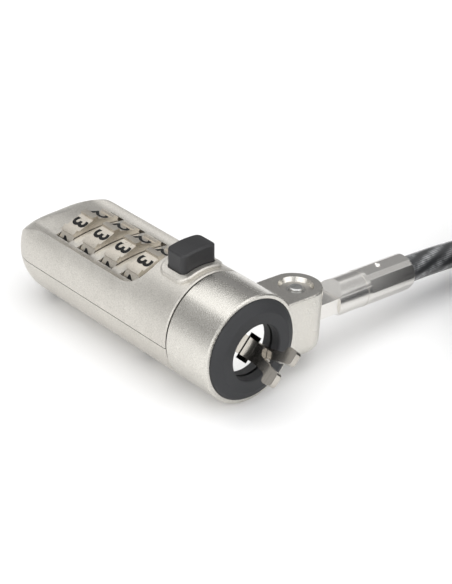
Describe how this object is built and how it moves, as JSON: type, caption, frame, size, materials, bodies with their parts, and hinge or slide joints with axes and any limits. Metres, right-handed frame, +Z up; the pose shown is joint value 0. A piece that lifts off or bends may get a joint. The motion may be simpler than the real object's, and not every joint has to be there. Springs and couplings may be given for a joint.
{
  "type": "laptop cable lock",
  "caption": "Cylindrical combination lock head with spreading slot jaws, push button, number dials, swivel collar and a coiled steel cable with a loop.",
  "frame": {"origin": "on the surface the lock stands on, under the middle of the lock head's box (cable left out)", "axes": "+Y along the lock head from its nose to its tail, +Z up through the button, +X towards the collar's ear and the cable"},
  "size_m": [0.1159, 0.1184, 0.0225],
  "materials": {
    "satin_nickel": "satin nickel plating with a fine grain",
    "dial_nickel": "satin nickel plating, warm",
    "bright_nickel": "bright nickel plating",
    "polished_chrome": "mirror polish",
    "plated_jaw": "polished hardened steel",
    "machined_steel": "turned steel",
    "spring_steel": "drawn wire",
    "black_plastic": "fine satin mould grain",
    "black_rubber": "matt moulded rubber",
    "cable_jacket": "clear smoky jacket over twisted strands",
    "tie_strap": "woven hook-and-loop strap"
  },
  "bodies": {
    "lock_body": {"upper_shell": "satin_nickel", "lower_shell": "satin_nickel", "core_barrel": "machined_steel", "nose_plate": "polished_chrome", "rubber_washer": "black_rubber", "jaw_pivot_pin": "machined_steel", "spindle_spring": "spring_steel", "button_springs": "spring_steel", "detent_spring": "spring_steel", "case_screws": "machined_steel"},
    "collar": {"swivel_collar": "satin_nickel", "rivet_pin": "machined_steel"},
    "cable": {"cable_fitting": "bright_nickel", "cable_lead": "cable_jacket", "cable_coil": "cable_jacket", "cable_loop": "cable_jacket", "loop_sleeve": "bright_nickel", "coil_tie": "tie_strap"},
    "button": {"push_button": "black_plastic"},
    "spindle": {"spindle": "machined_steel", "jaw_link_pin": "machined_steel"},
    "jaw_1": {"jaw_1": "plated_jaw"},
    "jaw_2": {"jaw_2": "plated_jaw"},
    "reset": {"reset_screw": "machined_steel"},
    "dial_1": {"dial_1": "dial_nickel", "clutch_1": "machined_steel"},
    "dial_2": {"dial_2": "dial_nickel", "clutch_2": "machined_steel"},
    "dial_3": {"dial_3": "dial_nickel", "clutch_3": "machined_steel"},
    "dial_4": {"dial_4": "dial_nickel", "clutch_4": "machined_steel"}
  },
  "joints": [
    {"name": "collar_swivel", "type": "hinge", "parent": "lock_body", "child": "collar", "pos_m": [-0.01472, -0.0177, 0.0095], "axis": [0, 1, 0], "continuous": true},
    {"name": "cable_pivot", "type": "hinge", "parent": "collar", "child": "cable", "pos_m": [-0.00142, -0.01808, 0.00891], "axis": [0.0819, 0, 0.9966], "range_deg": [0, 90]},
    {"name": "dial_1_turn", "type": "hinge", "parent": "lock_body", "child": "dial_1", "pos_m": [-0.01472, 0.00122, 0.0095], "axis": [0, 1, 0], "continuous": true},
    {"name": "dial_2_turn", "type": "hinge", "parent": "lock_body", "child": "dial_2", "pos_m": [-0.01472, 0.00696, 0.0095], "axis": [0, 1, 0], "continuous": true},
    {"name": "dial_3_turn", "type": "hinge", "parent": "lock_body", "child": "dial_3", "pos_m": [-0.01472, 0.01269, 0.0095], "axis": [0, 1, 0], "continuous": true},
    {"name": "dial_4_turn", "type": "hinge", "parent": "lock_body", "child": "dial_4", "pos_m": [-0.01472, 0.01842, 0.0095], "axis": [0, 1, 0], "continuous": true},
    {"name": "button_press", "type": "slide", "parent": "lock_body", "child": "button", "axis": [0, 0, -1], "range_m": [0, 0.0017], "stiffness_N_per_m": 300, "springref_m": -0.001, "deforming": ["button_springs"]},
    {"name": "spindle_draw", "type": "slide", "parent": "lock_body", "child": "spindle", "axis": [0, 1, 0], "range_m": [0, 0.0017], "deforming": ["spindle_spring"]},
    {"name": "jaw_1_close", "type": "hinge", "parent": "lock_body", "child": "jaw_1", "pos_m": [-0.01472, -0.01893, 0.0095], "axis": [0.7071, 0, -0.7071], "range_deg": [-6, 0]},
    {"name": "jaw_2_close", "type": "hinge", "parent": "lock_body", "child": "jaw_2", "pos_m": [-0.01472, -0.01893, 0.0095], "axis": [0.7071, 0, -0.7071], "range_deg": [0, 6]},
    {"name": "reset_turn", "type": "hinge", "parent": "lock_body", "child": "reset", "pos_m": [-0.01472, 0.02882, 0.0095], "axis": [0, 1, 0], "range_deg": [0, 90]}
  ],
  "couplings": [
    {"joint": "spindle_draw", "follows": "button_press", "ratio": 1},
    {"joint": "jaw_1_close", "follows": "button_press", "rad_per_m": -61.6},
    {"joint": "jaw_2_close", "follows": "button_press", "rad_per_m": 61.6}
  ]
}
